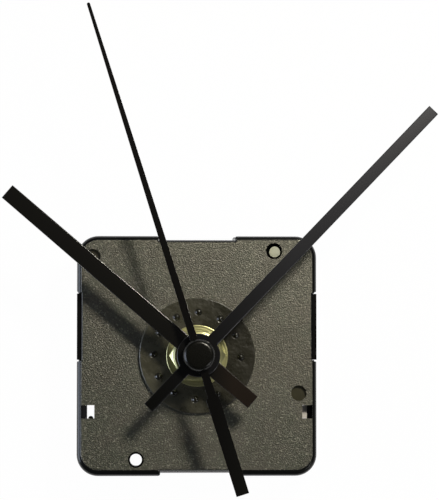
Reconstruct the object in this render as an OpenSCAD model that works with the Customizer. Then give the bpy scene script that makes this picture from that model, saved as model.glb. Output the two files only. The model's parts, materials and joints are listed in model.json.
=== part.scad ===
// Quartz clock movement with its three hands, for mounting through a dial.
// Lengths are in millimetres. Z runs along the hand shaft, towards the person who reads the clock.
// Y points at twelve o'clock and X at three o'clock.
// The origin is where the shaft axis meets the flat rear face.

/* [Case] */
// Width and height of the square case
case_w = 56; // [55:0.5:68]
// Depth of the case, from rear face to front face
case_d = 16; // [15.8:0.1:20]
// Radius of the case's upright corners
corner_r = 5; // [3.5:0.25:7]
// Thickness of the side walls
wall = 2; // [1.8:0.1:2.4]
// Thickness of the front face
face_t = 1.5; // [1.4:0.1:2]
// Width of the rounded band round the front face
edge_round = 1.2; // [0.6:0.1:1.4]
// Thickness of the rear cover
cover_t = 2.5; // [2.4:0.1:2.8]
// How far the rear cover's edge stands back from the front housing's sides
cover_inset = 0.3; // [0.1:0.05:0.5]
// Depth of the notches and latch grooves in the case's sides
notch_depth = 1.1; // [0.8:0.1:1.2]
// How far the notches' upright walls reach down from the front face
notch_h = 6; // [3:0.5:8]
// How far the case's side is set back below a notch, at the rear cover
notch_foot = 0.25; // [0.1:0.05:0.6]
// Radius of the rounded edges round the notches
notch_round = 0.6; // [0.3:0.1:0.8]
// Depth of the gaps beside the latches
gap_depth = 0.55; // [0.4:0.05:0.8]
// Width of the notch in the top side
top_notch_w = 17.8; // [12:0.2:24]
// Width of the notch in the bottom side
bottom_notch_w = 18.7; // [12:0.1:24]
// Sideways place of the bottom notch
bottom_notch_x = 0.8; // [-2:0.1:2]

/* [Latches] */
// Width of each snap latch
latch_w = 15.4; // [10:0.2:20]
// Height of the latches' middle above the shaft
latch_y = 6.8; // [4:0.2:10]
// Thickness of a latch arm
latch_t = 1; // [0.8:0.05:1]
// Gap between a latch arm and the end of its groove
latch_gap = 0.4; // [0.2:0.05:0.6]
// Width of the hook that snaps into the housing's wall
hook_w = 7; // [5:0.5:9]
// How far the hook reaches into the wall
hook_reach = 0.7; // [0.4:0.05:0.8]

/* [Battery bay] */
// Length of the cell that the bay takes
cell_len = 50.5; // [50:0.1:50.6]
// Diameter of the cell
cell_d = 14.5; // [14.2:0.1:14.6]
// Spare length for the two contacts
contact_room = 1.5; // [1.4:0.1:1.6]
// Spare width beside the cell
cell_play = 0.5; // [0.4:0.1:0.8]
// Thickness of the wall between the bay and the train
partition_t = 1; // [0.8:0.1:1.2]
// Thickness of the contact strip
strip_t = 0.3; // [0.2:0.05:0.4]
// Width of each contact plate
contact_w = 11; // [8:0.5:12]
// Height of the contact windows in the front face
window_h = 3.1; // [2.6:0.1:3.4]
// Width of the left contact window
left_window_w = 3.1; // [2.4:0.1:3.2]
// Width of the right contact window
right_window_w = 2.4; // [2:0.1:3]
// How far a window reaches past the bay's end
window_past = 1; // [0.5:0.1:1]

/* [Face holes] */
// Radius of the two blind holes
blind_r = 1.8; // [1.4:0.05:2]
// Depth of the blind holes
blind_depth = 1; // [0.8:0.1:1.6]
// Radius of the hole that shows the bridge's post
post_hole_r = 1.9; // [1.7:0.05:2.2]
// Radius of the bridge's post
post_r = 1.26; // [1:0.02:1.4]
// Depth of the post's end below the front face
post_sink = 1; // [0.5:0.5:6]
// Radius of the hole that opens into the battery bay
bay_hole_r = 1.4; // [1.2:0.05:1.5]
// Radius of that hole's sunk rim
bay_rim_r = 1.85; // [1.6:0.05:2]

/* [Bush and seals] */
// Outer radius of the mounting bush's thread
bush_r = 4; // [3.6:0.1:4.4]
// How deep the nut's bore bites into the thread
thread_bite = 0.25; // [0.2:0.05:0.4]
// Height of the bush above the front face
bush_h = 6.5; // [5:0.1:6.6]
// Radius of the bush's inner flange
bush_flange_r = 5.6; // [5:0.1:6.5]
// Thickness of the bush's inner flange
bush_flange_t = 0.8; // [0.6:0.1:0.9]
// Outer radius of the rubber washer
rubber_r = 13.5; // [12:0.1:15]
// Thickness of the rubber washer
rubber_t = 1; // [0.8:0.1:1.2]
// Number of bumps on the rubber washer
bump_count = 12; // [8:1:14]
// Radius of the circle that the bumps stand on
bump_circle_r = 10.2; // [9.6:0.1:11]
// Radius of each bump's ball
bump_r = 0.9; // [0.6:0.05:1]
// Outer radius of the brass washer
flat_washer_r = 7.2; // [6.6:0.1:8]
// Thickness of the brass washer
flat_washer_t = 0.5; // [0.4:0.1:0.7]
// Width of the hex nut across its flats
nut_flats = 11.4; // [11:0.1:12]
// Thickness of the hex nut
nut_t = 2.5; // [2:0.1:2.6]
// Radius of the nut's flat top, inside its chamfer
nut_top_r = 5.3; // [5:0.1:5.6]
// Height of the nut's chamfer at its corners
nut_chamfer = 0.75; // [0.5:0.05:1]

/* [Hand shafts] */
// Radius of the second hand's shaft
second_shaft_r = 0.55; // [0.5:0.05:0.6]
// Outer radius of the minute hand's pipe
minute_pipe_r = 1.6; // [1.5:0.05:1.7]
// Outer radius of the hour hand's tube
hour_tube_r = 2.5; // [2.4:0.05:2.6]
// Radial running clearance of every shaft and pivot
play = 0.05; // [0.03:0.01:0.08]

/* [Hands] */
// Thickness of the hands' sheet
hand_t = 0.4; // [0.3:0.05:0.5]
// Gap from the bush's top to the hour hand
hour_hand_gap = 1.4; // [1:0.1:2]
// Step from one hand's blade up to the next
hand_step = 2.4; // [2.2:0.1:2.8]
// Length of the hour hand from the shaft
hour_len = 58; // [45:1:70]
// Length of the minute hand from the shaft
minute_len = 78.6; // [60:0.2:94]
// Length of the second hand from the shaft
second_len = 84.8; // [70:0.2:100]
// Length of the hour and minute hands' tails
tail_len = 16.6; // [12:0.2:20]
// Length of the second hand's tail
second_tail_len = 33.4; // [20:0.2:40]
// Width of the hour hand at the hub
hour_w = 4.1; // [3:0.1:5]
// Width of the hour hand at its tip
hour_tip_w = 3.8; // [2:0.1:5]
// Width of the minute hand
minute_w = 2.9; // [2:0.1:4]
// Width of the second hand's counterweight
second_tail_w = 2.8; // [1.8:0.1:3.6]
// Width of the second hand at its hub
second_w = 1.7; // [1.2:0.1:2]
// Width of the second hand at its tip
second_tip_w = 0.6; // [0.4:0.1:1]
// Radius of the minute hand's round eye
eye_r = 5; // [4:0.1:5.5]
// Radius of the centre cap
cap_r = 3.7; // [3:0.1:4]
// Height of the centre cap
cap_h = 2.2; // [1.8:0.1:3]
// Radius of the cap's rounded shoulder
cap_round = 1.2; // [0.5:0.1:1.4]
// Hour hand's angle, clockwise from twelve
hour_angle = -49.4; // [-180:0.1:180]
// Minute hand's angle, clockwise from twelve
minute_angle = 43.8; // [-180:0.1:180]
// Second hand's angle, clockwise from twelve
second_angle = -17.5; // [-180:0.1:180]

/* [Train] */
// Module of the second and third wheels' teeth
train_module = 0.25; // [0.24:0.01:0.26]
// Module of the rotor pinion's teeth
rotor_module = 0.3; // [0.28:0.01:0.32]
// Thickness of every wheel
wheel_t = 0.8; // [0.6:0.1:0.8]
// Gap between wheels that pass over each other
level_gap = 0.4; // [0.3:0.05:0.4]
// Thickness of the train bridge
bridge_t = 1; // [0.8:0.1:1]
// Radius of the wheels' arbors
arbor_r = 0.5; // [0.45:0.05:0.55]
// How far the train bridge reaches to the left of the shaft
bridge_left = 19.5; // [18:0.5:20]
// How far the train bridge reaches to the right of the shaft
bridge_right = 15.6; // [15:0.2:16]
// How far the train bridge reaches above the shaft
bridge_up = 17; // [16:0.5:18]

/* [Motor and circuit] */
// Radius of the rotor magnet
magnet_r = 2.9; // [2.6:0.1:3]
// Air gap between the rotor magnet and the stator
air_gap = 0.5; // [0.4:0.1:0.6]
// Thickness of the stator plate and the coil's core
stator_t = 0.8; // [0.6:0.1:0.8]
// Length of the coil between its flanges
coil_len = 16.4; // [14:0.2:18]
// Radius of the coil's winding
coil_r = 3.1; // [2.6:0.1:3.2]
// Side of the bobbin's square flanges
flange_w = 6.8; // [6.4:0.1:7]
// Width of the circuit board
board_w = 8; // [7:0.5:8]
// Thickness of the circuit board
board_t = 1; // [0.8:0.1:1.2]

/* [Setting knob] */
// Radius of the setting knob
knob_r = 6; // [5:0.1:6.4]
// Thickness of the setting knob
knob_t = 1.3; // [1:0.1:1.4]
// How far the knob's face lies below the rear face
knob_sink = 0.15; // [0.1:0.05:0.3]
// Number of grip flutes round the knob
flute_count = 24; // [16:1:30]

/* [Hidden] */
$fn = 48;
// How far a cut runs past what it cuts
over = 0.5;
// How far two shapes of one piece run into each other
merge = 0.1;

// Sides of the case and its pockets
half_w = case_w / 2;
inner_half = half_w - wall;
face_in = case_d - face_t;
bay_len = cell_len + contact_room;
bay_w = cell_d + cell_play;
bay_y = bay_w / 2 - inner_half;
bay_top = bay_y + bay_w / 2;
train_floor_y = bay_top + partition_t;
window_y = bay_top - window_h / 2 - 0.5;

// Places of the holes in the front face
post_at = [half_w - 9.95, half_w - 3.5];
post_shift = [0.2, -0.15];
left_blind_at = [-half_w + 3.7, half_w - 4.9];
right_blind_at = [half_w - 4.2, train_floor_y + 1.3];
bay_hole_at = [-half_w + 13.8, -half_w + 3.8];

// Levels of the wheels that stand on the rear cover
floor_gap = 0.5;
step_z = cover_t + floor_gap;
second_z = step_z + wheel_t + level_gap;
third_z = second_z + wheel_t + level_gap;

// Levels of the wheels that hang under the bush's flange, and of the bridge below them
hub_rise = 0.2;
hour_z = face_in - bush_flange_t - floor_gap - hub_rise - wheel_t;
motion_z = hour_z - 1.6 - wheel_t;
centre_z = motion_z - 0.6 - wheel_t;
bridge_z = centre_z - floor_gap - bridge_t;

// Pivots at the arbors' ends, and how far a piece's end stays clear of what stops it
pivot_depth = 1;
pivot_r = 0.4;
end_gap = 0.1;
pivot_z = cover_t - pivot_depth + end_gap;

// How far a pinion's teeth reach past the wheel that they mesh with
tooth_reach = 0.2;

// Upper bearings of the third wheel and of the motion wheel
third_boss_r = 1.2;
third_boss_z = centre_z + wheel_t + floor_gap;
third_bearing = 1.5;
motion_arbor_r = 0.75;
motion_pivot_r = 0.6;
motion_bearing = 0.8;

// Outline of one tooth: height over the pitch circle in modules, and angle in pitches
wheel_addendum = 0.85;
pinion_tooth = [[-1.3, -0.18], [0, -0.19], [0.75, -0.1], [0.75, 0.1], [0, 0.19], [-1.3, 0.18]];
wheel_tooth = [[-1.2, -0.24], [0, -0.21], [wheel_addendum, -0.07],
    [wheel_addendum, 0.07], [0, 0.21], [-1.2, 0.24]];
most_pinion_teeth = 12;

// Tooth counts, which give the hands their ratios of sixty to one and twelve to one
pinion_teeth = 8;
step_teeth = 32;
second_teeth = 60;
third_teeth = 64;
centre_teeth = 60;
cannon_teeth = 12;
motion_teeth = 36;
motion_pinion_teeth = 10;
hour_teeth = 40;

// Distances between the axes, and the modules that follow from them
rotor_gap = (pinion_teeth + step_teeth) * rotor_module / 2;
step_gap = (pinion_teeth + second_teeth) * train_module / 2;
third_gap = (pinion_teeth + third_teeth) * train_module / 2;
centre_module = 2 * third_gap / (pinion_teeth + centre_teeth);
cannon_module = 2 * third_gap / (cannon_teeth + motion_teeth);
hour_module = 2 * third_gap / (motion_pinion_teeth + hour_teeth);

// Stator: ring round the rotor, arms below and above the rotor's axis, and legs up to the coil's core
ring_w = 1.1;
arm_low = 0.9;
arm_high = 2.9;
leg_w = 3.5;
leg_gap = 1;

// Coil: core, spool and flanges, and the coil's place above the rotor and under the top wall
core_w = 3;
spool_r = 2.1;
flange_t = 0.8;
coil_gap = 0.2;
coil_headroom = 0.8;
leg_in = coil_len / 2 + flange_t + leg_gap;
coil_above_rotor = magnet_r + air_gap + ring_w + coil_gap + coil_r;

// The step wheel stands above the shaft, and the rotor above it as far as the coil's room allows
step_dir = 100;
step_at = polar(step_gap, step_dir);
rotor_room = inner_half - coil_headroom - coil_r - coil_above_rotor - step_at[1];
rotor_dir = 180 - asin(min(rotor_room / rotor_gap, 1));
rotor_at = step_at + polar(rotor_gap, rotor_dir);

// The third wheel stands as high as the stator's arms let it, and the motion wheel is level with it
stator_gap = 0.7;
third_tip_r = (third_teeth / 2 + wheel_addendum) * train_module;
third_dir = asin((rotor_at[1] - arm_low - stator_gap - third_tip_r) / third_gap);
third_at = polar(third_gap, third_dir);
motion_dir = 180 - third_dir;
motion_at = polar(third_gap, motion_dir);

// Phases that put every pair of wheels in mesh
step_phase = meshed(step_dir, 0, second_teeth, pinion_teeth);
rotor_phase = meshed(rotor_dir, 0, step_teeth, pinion_teeth);
third_phase = meshed(third_dir, 0, pinion_teeth, third_teeth);
centre_phase = meshed(third_dir + 180, 0, pinion_teeth, centre_teeth);
motion_phase = meshed(motion_dir, 0, cannon_teeth, motion_teeth);
hour_phase = meshed(motion_dir + 180, 0, motion_pinion_teeth, hour_teeth);

// Side play of a latch arm in its groove, and how far its top lies below the front face
latch_play = 0.1;
latch_sink = 0.5;

// Latch hooks: levels of the flat and sloped ends, thickness of the edge, and play in the slot
hook_z0 = case_d / 2;
hook_z1 = hook_z0 + 2.4;
hook_edge = 0.6;
hook_play = 0.3;

// Heights of what stands on the front face
rubber_z = case_d;
washer_z = rubber_z + rubber_t;
nut_z = washer_z + flat_washer_t;
bush_top = case_d + bush_h;
thread_mean_r = bush_r - thread_bite;
hour_hand_z = bush_top + hour_hand_gap;
minute_hand_z = hour_hand_z + hand_step;
second_hand_z = minute_hand_z + hand_step;
shaft_proud = 0.3;
second_hand_t = hand_t - 0.1;
second_shaft_top = second_hand_z + hand_t + 0.8;
cap_tube_r = second_shaft_r + 0.45;
bush_chamfer = 0.4;
washer_play = 0.1;
bump_sink = 0.35;
first_bump = 88;

// Levels of the coil and the stator
stator_z = step_z + 2;
core_z = stator_z + stator_t;
coil_y = rotor_at[1] + coil_above_rotor;
coil_z = core_z + stator_t / 2;
magnet_z = stator_z - 0.4;
magnet_top = core_z + 0.6;

// Train bridge's corners, and the pins that hold it
bridge_low = [-bridge_left, train_floor_y + 0.9];
bridge_high = [bridge_right, bridge_up];
pin_r = 0.8;
bridge_hole_play = 0.03;
bridge_pins = [bridge_low + [2.1, 2.9], bridge_high - [2.6, 4.4],
    [bridge_high[0] - 3, bridge_low[1] + 2.7], [bridge_low[0] + 5.1, bridge_high[1] - 2.6]];

// Circuit board above the bay's right end, where both contacts reach it, and the studs that hold it
board_len = 28.8;
board_z = cover_t + 0.8;
board_at = [bay_len / 2 - 0.5 - board_w / 2, train_floor_y + 1.2 + board_len / 2];
stud_r = 0.6;
stud_places = [board_at - [0, 10], board_at + [0, 10]];

// Contacts: gap to the bay's end, tab up to the window, and foot that runs to the board
contact_gap = 0.1;
contact_z = 3;
tab_w = 2.9;
fold_z = face_in - 1.3;
foot_z = board_z + board_t;
foot_h = 2;
strip_y = train_floor_y + 0.3;

// Setting knob: gap round it in its well, gap over it, and depth of the socket for its arbor
knob_gap = 0.4;
knob_over = 0.25;
knob_web = 0.4;

function polar(r, a) = [r * cos(a), r * sin(a)];

// Angle of one tooth of a driven wheel that meshes with a wheel of the given phase in direction dir
function meshed(dir, phase, n_drive, n_driven) =
    dir + 180 + (dir - phase) * n_drive / n_driven + 180 / n_driven;

// Corner points of a rectangle whose corners are arcs
function rounded_rect(w, h, r, steps = 12) = [
    for (c = [0 : 3], s = [0 : steps])
        let (sx = (c == 0 || c == 3) ? 1 : -1, sy = (c < 2) ? 1 : -1)
        [sx * (w / 2 - r), sy * (h / 2 - r)] + polar(r, 90 * (c + s / steps))
];

function gear_outline(teeth, mod, phase) = [
    for (i = [0 : teeth - 1], p = teeth > most_pinion_teeth ? wheel_tooth : pinion_tooth)
        polar(teeth * mod / 2 + p[0] * mod, phase + (i + p[1]) * 360 / teeth)
];

// A rod along Z between two heights
module rod(r, z0, z1, at = [0, 0]) {
    translate([at[0], at[1], z0])
        cylinder(r = r, h = z1 - z0);
}

// A box between two corners
module box(low, high) {
    translate(low)
        cube(high - low);
}

module slab(w, h, r, z0, z1) {
    translate([0, 0, z0])
        linear_extrude(z1 - z0)
            polygon(rounded_rect(w, h, r));
}

module gear(teeth, mod, phase, z0, z1, at = [0, 0]) {
    translate([at[0], at[1], z0])
        linear_extrude(z1 - z0)
            polygon(gear_outline(teeth, mod, phase));
}

// A large wheel with a ring of round lightening holes
module wheel(teeth, mod, phase, z, at = [0, 0], holes = 5) {
    pitch_r = teeth * mod / 2;
    ring_r = pitch_r * 0.58;
    difference() {
        gear(teeth, mod, phase, z, z + wheel_t, at);
        for (i = [0 : holes - 1])
            rod(pitch_r / 4, z - over, z + wheel_t + over, at + polar(ring_r, (i + 0.5) * 360 / holes));
    }
}

module battery_pocket(z1) {
    box([-bay_len / 2, bay_y - bay_w / 2, -over], [bay_len / 2, bay_top, z1]);
}

// Room for the train, with rounded corners only at the top
module train_pocket() {
    translate([0, (train_floor_y + inner_half) / 2, 0])
        slab(2 * inner_half, inner_half - train_floor_y, corner_r - wall, -over, face_in);
    box([-inner_half, train_floor_y, -over], [inner_half, 0, face_in]);
}

// What a cutter takes off an edge to round it: X runs into the piece, and the top is at Y = 0
module edge_profile(r, outside = over) {
    polygon(concat([[-outside, over], [-outside, -r]],
        [for (a = [0 : 15 : 90]) [r - r * cos(a), r * sin(a) - r]],
        [[r, over]]));
}

// Notch in the top side, middle at x, down to z0, with edges rounded by radius r
module notch(w, x, z0, r, depth = notch_depth) {
    translate([x, half_w - depth, 0])
        for (side = [0, 1])
            mirror([side, 0, 0]) {
                box([-over, 0, z0], [w / 2, depth + over, case_d + over]);
                translate([w / 2, depth + over, case_d])
                    rotate([90, 0, 0])
                        linear_extrude(depth + over)
                            edge_profile(r);
                translate([w / 2, 0, case_d])
                    rotate([90, 0, -90])
                        linear_extrude(w / 2 + over)
                            edge_profile(r);
                translate([w / 2, 0, case_d])
                    rotate_extrude()
                        edge_profile(r, 0);
                // upright corner between the notch's end and the case's side
                translate([w / 2, depth, z0])
                    linear_extrude(case_d + over - z0)
                        edge_profile(r);
            }
}

// The parts of the sides that the latches and notches cut away
module side_cuts() {
    groove_w = latch_w + 2 * latch_play;
    ledge_z = case_d - notch_h;
    for (side = [-1, 1])
        rotate([0, 0, side * 90]) {
            notch(groove_w, side * latch_y, -over, notch_round / 2);
            notch(latch_w + 2 * latch_gap, side * latch_y, -over, notch_round / 2, gap_depth);
        }
    notch(top_notch_w, 0, ledge_z, notch_round);
    rotate([0, 0, 180])
        notch(bottom_notch_w, -bottom_notch_x, ledge_z, notch_round);
    notch_slope(top_notch_w, 0);
    rotate([0, 0, 180])
        notch_slope(bottom_notch_w, -bottom_notch_x);
}

// Slope below a notch, from a fine ledge out to the rear cover, with a small step half way
module notch_slope(w, x) {
    ledge = 0.05;
    step = 0.15;
    wall_y = half_w - notch_depth + ledge;
    foot_y = half_w - notch_foot;
    high_z = case_d - notch_h;
    mid = [(wall_y + foot_y) / 2, (high_z + cover_t) / 2];
    translate([x - w / 2 + ledge, 0, 0])
        rotate([90, 0, 90])
            linear_extrude(w - 2 * ledge)
                polygon([[wall_y, high_z + merge], [wall_y, high_z], mid, mid + [step, 0],
                    [foot_y, cover_t - merge], [half_w + over, cover_t - merge],
                    [half_w + over, high_z + merge]]);
}

// Low ribs in the bay that cradle the cell
module cradles() {
    rib_t = 1.2;
    rib_h = 2;
    cell_gap = 0.1;
    rib_pitch = 18;
    for (x = [-rib_pitch, 0, rib_pitch])
        difference() {
            box([x - rib_t / 2, bay_y - bay_w / 2 - over, face_in - rib_h],
                [x + rib_t / 2, bay_top + over, face_in + over]);
            translate([x - rib_t, bay_y, cell_d / 2])
                rotate([0, 90, 0])
                    cylinder(r = cell_d / 2 + cell_gap, h = 2 * rib_t, $fn = 96);
        }
}

// Round shell of the housing, before anything is cut
module housing_block() {
    slab(case_w, case_w, corner_r, cover_t, case_d - edge_round);
    hull() {
        slab(case_w, case_w, corner_r, case_d - edge_round - 0.1, case_d - edge_round);
        for (a = [10 : 10 : 90]) {
            inset = edge_round * (1 - cos(a));
            slab(case_w - 2 * inset, case_w - 2 * inset, corner_r - inset,
                case_d - edge_round, case_d - edge_round * (1 - sin(a)));
        }
    }
}

module front_housing() {
    boss_z = face_in - 2;
    boss_wall = 1;
    post_tube_z = bridge_z + bridge_t + 3;
    pillar_r = 1.6;
    pin_end = 0.3;
    rim_depth = 0.5;
    color([0.13, 0.13, 0.12])
        difference() {
            union() {
                difference() {
                    housing_block();
                    battery_pocket(face_in);
                    train_pocket();
                }
                cradles();
                for (at = [left_blind_at, right_blind_at])
                    rod(blind_r + boss_wall, boss_z, face_in + merge, at);
                rod(post_hole_r + boss_wall, post_tube_z, face_in + merge, post_at);
                rod(third_boss_r, third_boss_z, face_in + merge, third_at);
                for (at = bridge_pins) {
                    rod(pillar_r, bridge_z + bridge_t, face_in + merge, at);
                    rod(pin_r, bridge_z - pin_end, bridge_z + bridge_t + merge, at);
                }
            }
            side_cuts();
            rod(bush_r, face_in - over, case_d + over);
            rod(post_hole_r, bridge_z, case_d + over, post_at);
            for (at = [left_blind_at, right_blind_at])
                rod(blind_r, case_d - blind_depth, case_d + over, at);
            rod(bay_hole_r, face_in - over, case_d + over, bay_hole_at);
            rod(bay_rim_r, case_d - rim_depth, case_d + over, bay_hole_at);
            contact_windows();
            hook_slots();
            rod(pivot_r + play, centre_z, third_boss_z + third_bearing, third_at);
            rod(motion_pivot_r + play, hour_z, face_in + motion_bearing, motion_at);
        }
}

// Windows over the contacts, with the pockets that hold the contacts' folds
module contact_windows() {
    pocket_z = face_in - 2.4;
    nib_r = 0.6;
    nib_in = 0.8;
    nib_sink = 0.6;
    slot = [1, 4.5];
    for (side = [[-1, left_window_w], [1, right_window_w]]) {
        outer = bay_len / 2 + window_past;
        x0 = min(side[0] * outer, side[0] * (outer - side[1]));
        difference() {
            box([x0, window_y - window_h / 2, pocket_z],
                [x0 + side[1], window_y + window_h / 2, case_d + over]);
            // small nib on the left window's lower edge
            if (side[0] < 0)
                rod(nib_r, face_in, case_d - nib_sink, [x0 + side[1] - nib_in, window_y - window_h / 2]);
        }
    }
    // slots that let the contact strips through the partition
    for (side = [-1, 1]) {
        x = side * (bay_len / 2 - slot[0] / 2);
        box([x - slot[0] / 2, bay_top - over, -over],
            [x + slot[0] / 2, train_floor_y + over, board_z + slot[1]]);
    }
}

// Openings in the groove floors that the hooks snap into
module hook_slots() {
    for (side = [-1, 1])
        box([side * inner_half - wall, latch_y - hook_w / 2 - hook_play, hook_z0 - 0.2],
            [side * inner_half + wall, latch_y + hook_w / 2 + hook_play, hook_z1 + 0.2]);
}

module latches() {
    top_z = case_d - latch_sink;
    arm_x = half_w - latch_t;
    for (side = [0, 1])
        mirror([side, 0, 0]) {
            box([arm_x, latch_y - latch_w / 2, 0], [half_w, latch_y + latch_w / 2, top_z]);
            translate([0, latch_y + hook_w / 2, 0])
                rotate([90, 0, 0])
                    linear_extrude(hook_w)
                        polygon([[arm_x + merge, hook_z0], [arm_x - hook_reach, hook_z0],
                            [arm_x - hook_reach, hook_z0 + hook_edge], [arm_x + merge, hook_z1]]);
        }
}

module rear_cover() {
    cover_w = case_w - 2 * cover_inset;
    well_z = knob_sink + knob_t + knob_over;
    stud_foot_r = 1.4;
    stud_end = 0.3;
    color([0.1, 0.1, 0.1])
        difference() {
            union() {
                slab(cover_w, cover_w, corner_r - cover_inset, 0, cover_t);
                latches();
                for (at = stud_places) {
                    rod(stud_foot_r, cover_t - merge, board_z, at);
                    rod(stud_r, board_z - merge, board_z + board_t + stud_end, at);
                }
            }
            battery_pocket(cover_t + over);
            // well of the setting knob, and the hole of its arbor
            rod(knob_r + knob_gap, -over, well_z, motion_at);
            rod(motion_arbor_r + play, -over, cover_t + over, motion_at);
            for (at = [third_at, step_at, rotor_at])
                rod(pivot_r + play, cover_t - pivot_depth, cover_t + over, at);
            rod(second_shaft_r + play, cover_t - pivot_depth, cover_t + over);
            finger_scoop();
        }
}

// Scoop in the bay's lower edge that lets a finger lift the cell
module finger_scoop() {
    scoop_r = 3.2;
    scoop_w = 14;
    scoop_depth = 1;
    translate([0, -half_w + wall - 0.2, scoop_depth - scoop_r])
        rotate([0, 90, 0])
            cylinder(r = scoop_r, h = scoop_w, center = true);
}

module threaded_bush() {
    color([0.72, 0.62, 0.3])
        difference() {
            union() {
                rod(bush_flange_r, face_in - bush_flange_t, face_in);
                rod(bush_r, face_in - merge, nut_z);
                rod(thread_mean_r, nut_z - merge, nut_z + nut_t + merge);
                rod(bush_r, nut_z + nut_t, bush_top - bush_chamfer);
                translate([0, 0, bush_top - bush_chamfer])
                    cylinder(r1 = bush_r, r2 = bush_r - bush_chamfer, h = bush_chamfer);
            }
            rod(hour_tube_r + play, face_in - bush_flange_t - over, bush_top + over);
        }
}

module rubber_washer() {
    color([0.12, 0.12, 0.11])
        difference() {
            union() {
                rod(rubber_r, rubber_z, washer_z);
                for (i = [0 : bump_count - 1])
                    translate(concat(polar(bump_circle_r, first_bump - i * 360 / bump_count),
                        washer_z - bump_sink))
                        sphere(r = bump_r);
            }
            rod(bush_r + washer_play, rubber_z - over, washer_z + over);
            // the bumps' balls don't reach through the underside
            rod(rubber_r + over, rubber_z - 1, rubber_z);
        }
}

module flat_washer() {
    color([0.74, 0.66, 0.36])
        difference() {
            rod(flat_washer_r, washer_z, nut_z);
            rod(bush_r + washer_play, washer_z - over, nut_z + over);
        }
}

module hex_nut() {
    corner_out = nut_flats / 2 / cos(30);
    color([0.74, 0.66, 0.36])
        difference() {
            intersection() {
                rod_hex(corner_out, nut_z, nut_z + nut_t);
                union() {
                    rod(corner_out + over, nut_z, nut_z + nut_t - nut_chamfer);
                    translate([0, 0, nut_z + nut_t - nut_chamfer])
                        cylinder(r1 = corner_out + 0.02, r2 = nut_top_r, h = nut_chamfer);
                }
            }
            rod(thread_mean_r, nut_z - over, nut_z + nut_t + over);
        }
}

module rod_hex(r, z0, z1) {
    translate([0, 0, z0])
        cylinder(r = r, h = z1 - z0, $fn = 6);
}

module train_bridge() {
    size = bridge_high - bridge_low;
    mid = (bridge_low + bridge_high) / 2;
    corner = 2;
    // the arm to the post starts inside the upper right corner, and its pad is wider than the arm
    arm_root = bridge_high - [3, 3];
    arm_w = 3.2;
    pad_r = 1.9;
    third_hole_r = pinion_teeth * centre_module / 2 + 1;
    arm_angle = atan2(post_at[1] - arm_root[1], post_at[0] - arm_root[0]);
    color([0.9, 0.89, 0.84])
        difference() {
            union() {
                translate([mid[0], mid[1], 0])
                    slab(size[0], size[1], corner, bridge_z, bridge_z + bridge_t);
                translate([arm_root[0], arm_root[1], bridge_z])
                    rotate([0, 0, arm_angle])
                        translate([0, -arm_w / 2, 0])
                            cube([norm(post_at - arm_root), arm_w, bridge_t]);
                rod(pad_r, bridge_z, bridge_z + bridge_t, post_at);
                rod(post_r, bridge_z + bridge_t - merge, case_d - post_sink, post_at + post_shift);
            }
            for (at = bridge_pins)
                rod(pin_r + bridge_hole_play, bridge_z - over, bridge_z + bridge_t + over, at);
            rod(second_shaft_r + play, bridge_z - over, bridge_z + bridge_t + over);
            rod(motion_arbor_r + play, bridge_z - over, bridge_z + bridge_t + over, motion_at);
            for (at = [step_at, rotor_at])
                rod(pivot_r + play, bridge_z - over, bridge_z + bridge_t + over, at);
            // the third pinion stands in this hole
            rod(third_hole_r, bridge_z - over, bridge_z + bridge_t + over, third_at);
        }
}

module stator() {
    leg_x = [rotor_at[0] - leg_in - leg_w, rotor_at[0] + leg_in];
    arm_y = [rotor_at[1] - arm_low, rotor_at[1] + arm_high];
    bore_r = magnet_r + air_gap;
    notch_r = 0.5;
    color([0.62, 0.62, 0.64])
        difference() {
            union() {
                rod(bore_r + ring_w, stator_z, core_z, rotor_at);
                box([leg_x[0], arm_y[0], stator_z], [leg_x[1] + leg_w, arm_y[1], core_z]);
                for (x = leg_x)
                    box([x, arm_y[0], stator_z], [x + leg_w, coil_y + core_w / 2, core_z]);
            }
            rod(bore_r, stator_z - over, core_z + over, rotor_at);
            // notches that park the rotor between steps
            for (a = [40, 220])
                rod(notch_r, stator_z - over, core_z + over, rotor_at + polar(bore_r, a));
        }
}

module coil_core() {
    reach = leg_in + leg_w;
    color([0.66, 0.66, 0.68])
        box([rotor_at[0] - reach, coil_y - core_w / 2, core_z],
            [rotor_at[0] + reach, coil_y + core_w / 2, core_z + stator_t]);
}

module coil_bobbin() {
    color([0.85, 0.83, 0.76])
        difference() {
            translate([rotor_at[0], coil_y, coil_z])
                rotate([0, 90, 0]) {
                    cylinder(r = spool_r, h = coil_len + flange_t, center = true);
                    for (side = [-1, 1])
                        translate([0, 0, side * (coil_len + flange_t) / 2])
                            cube([flange_w, flange_w, flange_t], center = true);
                }
            box([rotor_at[0] - coil_len, coil_y - core_w / 2 - play, core_z - play],
                [rotor_at[0] + coil_len, coil_y + core_w / 2 + play, core_z + stator_t + play]);
        }
}

module coil_winding() {
    color([0.62, 0.3, 0.14])
        translate([rotor_at[0], coil_y, coil_z])
            rotate([0, 90, 0])
                difference() {
                    cylinder(r = coil_r, h = coil_len - 2 * end_gap, center = true);
                    cylinder(r = spool_r, h = coil_len + over, center = true);
                }
}

module circuit_board() {
    color([0.32, 0.22, 0.1])
        difference() {
            translate([board_at[0], board_at[1], 0])
                slab(board_w, board_len, 0.8, board_z, board_z + board_t);
            for (at = stud_places)
                rod(stud_r + play, board_z - over, board_z + board_t + over, at);
        }
}

module chip_cap() {
    ball_r = 4.5;
    dome_h = 1;
    color([0.05, 0.05, 0.05])
        intersection() {
            translate([board_at[0], board_at[1], board_z + board_t + dome_h - ball_r])
                sphere(r = ball_r, $fn = 64);
            rod(ball_r, board_z + board_t, board_z + board_t + dome_h + over, board_at);
        }
}

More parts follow.
